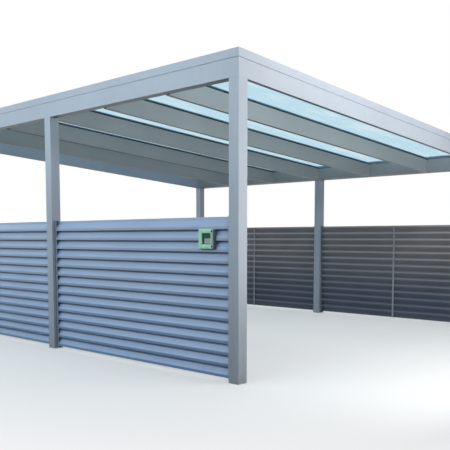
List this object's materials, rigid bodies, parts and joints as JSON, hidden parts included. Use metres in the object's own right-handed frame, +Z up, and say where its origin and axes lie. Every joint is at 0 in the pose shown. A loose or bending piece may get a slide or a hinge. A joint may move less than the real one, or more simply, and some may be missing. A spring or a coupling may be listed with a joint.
{
  "type": "carport",
  "caption": "Open carport with a single-pitch glass roof on square posts, deep flat rafters under the panes and waist-high louvre walls along both long sides.",
  "frame": {"origin": "middle of the footprint, on the floor that the posts stand on", "axes": "+Z up; Y along the long sides, the open entrance at -Y and the open rear at +Y; the high eave and left louvre wall at -X, the low eave and right louvre wall at +X"},
  "size_m": [4.62, 5.1, 2.5],
  "materials": {
    "frame_coat": "satin powder coat, silver blue grey",
    "trim_coat": "satin powder coat, silver blue grey",
    "louvre_coat": "satin powder coat, silver blue grey",
    "roof_glass": "clear with a light cyan tint",
    "seal_rubber": "matte black",
    "box_rim": "satin light green",
    "box_plate": "matte dark green",
    "box_pad": "matte light grey"
  },
  "bodies": {
    "root": {"post_left_front": "frame_coat", "post_right_front": "frame_coat", "post_left_middle": "frame_coat", "post_right_middle": "frame_coat", "post_left_rear": "frame_coat", "post_right_rear": "frame_coat", "gutter_outer_wall": "frame_coat", "gutter_inner_wall": "frame_coat", "left_eave_beam": "frame_coat", "right_eave_beam": "frame_coat", "front_beam": "frame_coat", "rear_beam": "frame_coat", "left_cap_trim": "trim_coat", "right_cap_trim": "trim_coat", "front_cap_trim": "trim_coat", "rear_cap_trim": "trim_coat", "rafter_1": "frame_coat", "rafter_2": "frame_coat", "rafter_3": "frame_coat", "rafter_4": "frame_coat", "rafter_5": "frame_coat", "glass_pane_1": "roof_glass", "glass_pane_2": "roof_glass", "glass_pane_3": "roof_glass", "glass_pane_4": "roof_glass", "glass_pane_5": "roof_glass", "glass_pane_6": "roof_glass", "cover_strip_1": "trim_coat", "cover_strip_2": "trim_coat", "cover_strip_3": "trim_coat", "cover_strip_4": "trim_coat", "cover_strip_5": "trim_coat", "glazing_seals": "seal_rubber", "louvre_left_front": "louvre_coat", "louvre_left_rear": "louvre_coat", "louvre_right_front": "louvre_coat", "louvre_right_rear": "louvre_coat", "wall_box_rim": "box_rim", "wall_box_plate": "box_plate", "wall_box_pad": "box_pad"}
  },
  "joints": []
}
